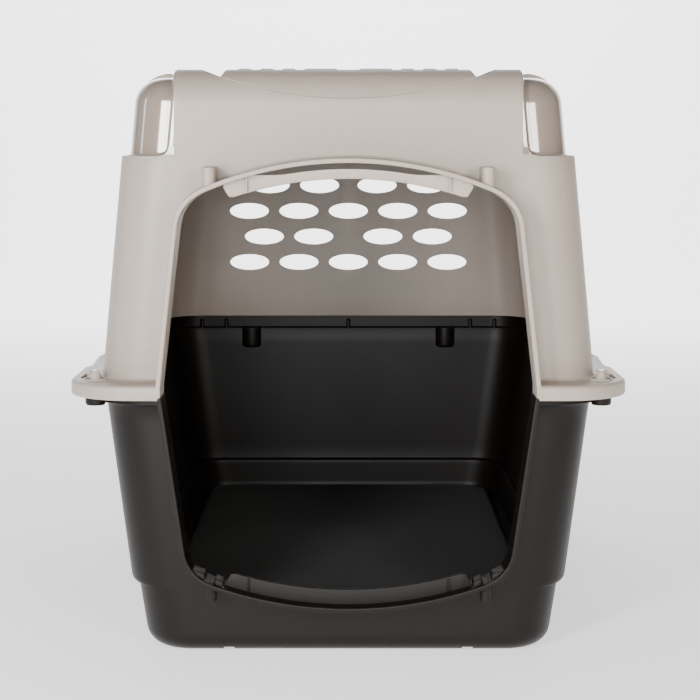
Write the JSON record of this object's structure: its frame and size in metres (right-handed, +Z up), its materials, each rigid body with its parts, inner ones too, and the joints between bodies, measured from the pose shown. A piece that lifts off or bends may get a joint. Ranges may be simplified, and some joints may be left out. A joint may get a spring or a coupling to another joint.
{
  "type": "moulded dog kennel",
  "caption": "Moulded dog kennel: upper and lower shells bolted along a wide flange, arched doorway, oval vents and a loose floor mat.",
  "frame": {"origin": "on the floor, under the middle of the kennel's outer box", "axes": "+X to the right seen from the doorway, +Y from the doorway to the rear, +Z up"},
  "size_m": [0.526, 0.711, 0.55],
  "materials": {
    "upper_plastic": "satin taupe, fine grain",
    "lower_plastic": "satin brown black, fine grain",
    "nut_plastic": "satin taupe",
    "bolt_steel": "zinc plated",
    "mat_fabric": "matt woven felt"
  },
  "bodies": {
    "lower_body": {"lower_shell": "lower_plastic", "bolt_front_left": "bolt_steel", "bolt_front_right": "bolt_steel", "bolt_side_left_front": "bolt_steel", "bolt_side_left_rear": "bolt_steel", "bolt_side_right_front": "bolt_steel", "bolt_side_right_rear": "bolt_steel", "bolt_rear_left": "bolt_steel", "bolt_rear_right": "bolt_steel"},
    "upper_body": {"upper_shell": "upper_plastic"},
    "mat_body": {"floor_mat": "mat_fabric"},
    "wing_nut_front_left_body": {"wing_nut_front_left": "nut_plastic"},
    "wing_nut_front_right_body": {"wing_nut_front_right": "nut_plastic"},
    "wing_nut_side_left_front_body": {"wing_nut_side_left_front": "nut_plastic"},
    "wing_nut_side_left_rear_body": {"wing_nut_side_left_rear": "nut_plastic"},
    "wing_nut_side_right_front_body": {"wing_nut_side_right_front": "nut_plastic"},
    "wing_nut_side_right_rear_body": {"wing_nut_side_right_rear": "nut_plastic"},
    "wing_nut_rear_left_body": {"wing_nut_rear_left": "nut_plastic"},
    "wing_nut_rear_right_body": {"wing_nut_rear_right": "nut_plastic"}
  },
  "joints": [
    {"name": "upper_shell_lift", "type": "slide", "parent": "lower_body", "child": "upper_body", "axis": [0, 0, 1], "range_m": [0, 0.3]},
    {"name": "floor_mat_lift", "type": "slide", "parent": "lower_body", "child": "mat_body", "axis": [0, 0, 1], "range_m": [0, 0.15]},
    {"name": "wing_nut_front_left_turn", "type": "hinge", "parent": "upper_body", "child": "wing_nut_front_left_body", "pos_m": [-0.23784, -0.31135, 0.2583], "axis": [0, 0, 1], "continuous": true},
    {"name": "wing_nut_front_right_turn", "type": "hinge", "parent": "upper_body", "child": "wing_nut_front_right_body", "pos_m": [0.23784, -0.31135, 0.2583], "axis": [0, 0, 1], "continuous": true},
    {"name": "wing_nut_side_left_front_turn", "type": "hinge", "parent": "upper_body", "child": "wing_nut_side_left_front_body", "pos_m": [-0.2457, -0.13, 0.2583], "axis": [0, 0, 1], "continuous": true},
    {"name": "wing_nut_side_left_rear_turn", "type": "hinge", "parent": "upper_body", "child": "wing_nut_side_left_rear_body", "pos_m": [-0.2457, 0.13, 0.2583], "axis": [0, 0, 1], "continuous": true},
    {"name": "wing_nut_side_right_front_turn", "type": "hinge", "parent": "upper_body", "child": "wing_nut_side_right_front_body", "pos_m": [0.2457, -0.13, 0.2583], "axis": [0, 0, 1], "continuous": true},
    {"name": "wing_nut_side_right_rear_turn", "type": "hinge", "parent": "upper_body", "child": "wing_nut_side_right_rear_body", "pos_m": [0.2457, 0.13, 0.2583], "axis": [0, 0, 1], "continuous": true},
    {"name": "wing_nut_rear_left_turn", "type": "hinge", "parent": "upper_body", "child": "wing_nut_rear_left_body", "pos_m": [-0.128, 0.3407, 0.2583], "axis": [0, 0, 1], "continuous": true},
    {"name": "wing_nut_rear_right_turn", "type": "hinge", "parent": "upper_body", "child": "wing_nut_rear_right_body", "pos_m": [0.128, 0.3407, 0.2583], "axis": [0, 0, 1], "continuous": true}
  ]
}
